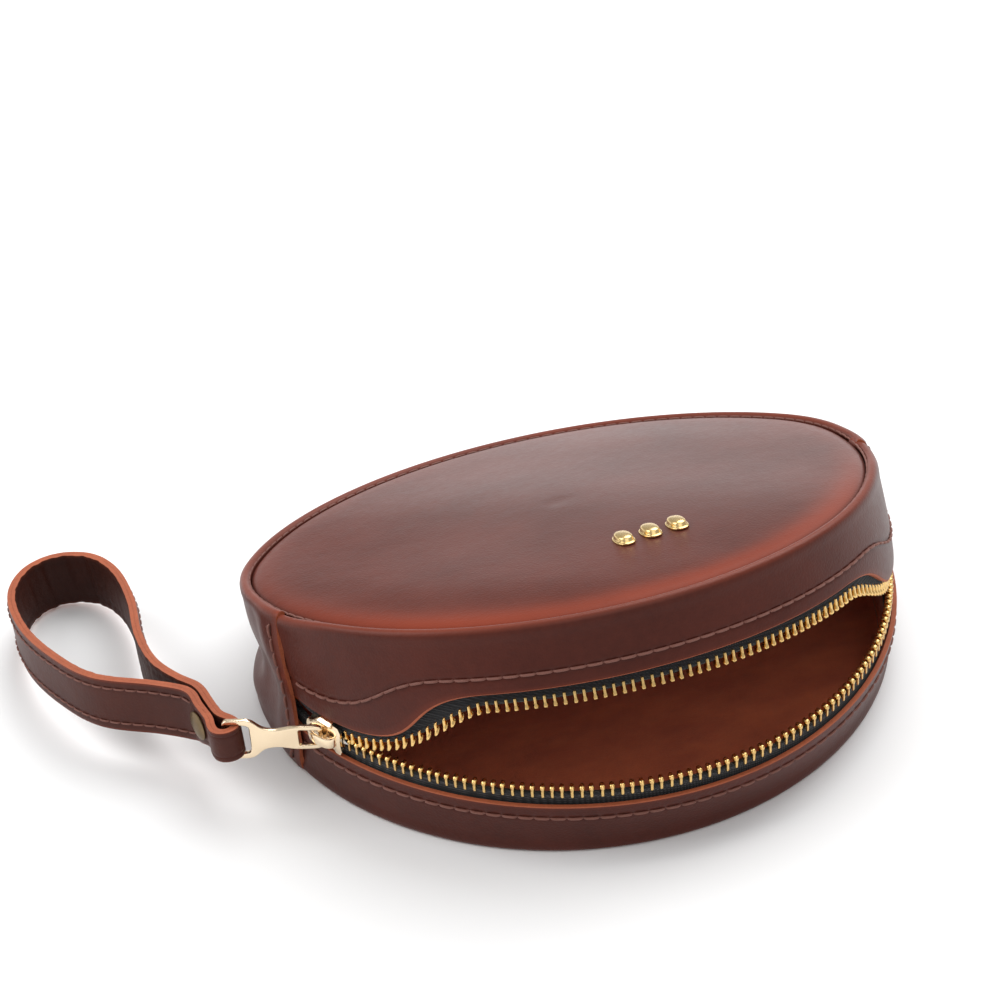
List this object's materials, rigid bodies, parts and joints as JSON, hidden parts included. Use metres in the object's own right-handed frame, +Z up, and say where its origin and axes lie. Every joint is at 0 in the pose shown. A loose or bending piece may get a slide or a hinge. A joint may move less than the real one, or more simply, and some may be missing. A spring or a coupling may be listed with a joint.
{
  "type": "zip carrying case",
  "caption": "Round leather zip carrying case, lid ajar, with a sliding zip pull and a riveted wrist strap.",
  "frame": {"origin": "centre of the case on its flat underside: the centre of the front half circle of the plan", "axes": "+Z up, -Y towards the middle of the zip, +X to the right when facing the zip"},
  "size_m": [0.2658, 0.1946, 0.0778],
  "materials": {
    "panel_leather": "smooth full-grain leather, reddish brown, satin sheen, burnished at the seam",
    "band_leather": "smooth full-grain leather with raw orange-brown cut edges and matching thread",
    "zip_tape": "black woven zip tape",
    "zip_teeth": "polished brass teeth",
    "zip_stops": "polished brass clamps",
    "stud_brass": "polished brass",
    "slider_metal": "polished light gold plating",
    "strap_leather": "smooth leather, raw orange edges, stitched along both edges",
    "strap_lining": "darker leather lining, wrinkled across the strap",
    "rivet_metal": "antique brass"
  },
  "bodies": {
    "base": {"bottom_panel": "panel_leather", "lower_zip_band": "band_leather", "back_gusset": "band_leather", "lower_zip_tape": "zip_tape", "lower_zip_teeth": "zip_teeth", "zip_bottom_stop": "zip_stops", "lower_top_stop": "zip_stops"},
    "lid": {"top_panel": "panel_leather", "upper_zip_band": "band_leather", "upper_zip_tape": "zip_tape", "upper_zip_teeth": "zip_teeth", "upper_top_stop": "zip_stops", "stud_heads": "stud_brass", "stud_posts": "stud_brass", "stud_washers": "stud_brass"},
    "slider": {"slider_body": "slider_metal", "slider_bridge": "slider_metal"},
    "pull": {"pull_tab": "slider_metal"},
    "wrist_strap": {"strap_outer": "strap_leather", "strap_lining": "strap_lining", "strap_rivet_cap": "rivet_metal", "strap_rivet_back": "rivet_metal", "strap_rivet_post": "rivet_metal"}
  },
  "joints": [
    {"name": "slider_travel", "type": "hinge", "parent": "base", "child": "slider", "pos_m": [0, 0, 0.025], "axis": [0, 0, 1], "range_deg": [0, 139.5], "deforming": ["lower_zip_teeth", "upper_zip_teeth"]},
    {"name": "lid_hinge", "type": "hinge", "parent": "base", "child": "lid", "pos_m": [0, -0.008, 0.025], "axis": [-1, 0, 0], "range_deg": [-18.5, 0], "deforming": ["back_gusset"]},
    {"name": "pull_swing", "type": "hinge", "parent": "slider", "child": "pull", "pos_m": [-0.09524, -0.04141, 0.025], "axis": [0, 0, 1], "range_deg": [-8, 95]},
    {"name": "strap_swing", "type": "hinge", "parent": "pull", "child": "wrist_strap", "pos_m": [-0.12101, -0.03047, 0.025], "axis": [0, 0, 1], "range_deg": [-6, 20]}
  ],
  "couplings": [
    {"joint": "lid_hinge", "follows": "slider_travel", "ratio": -0.13262}
  ]
}
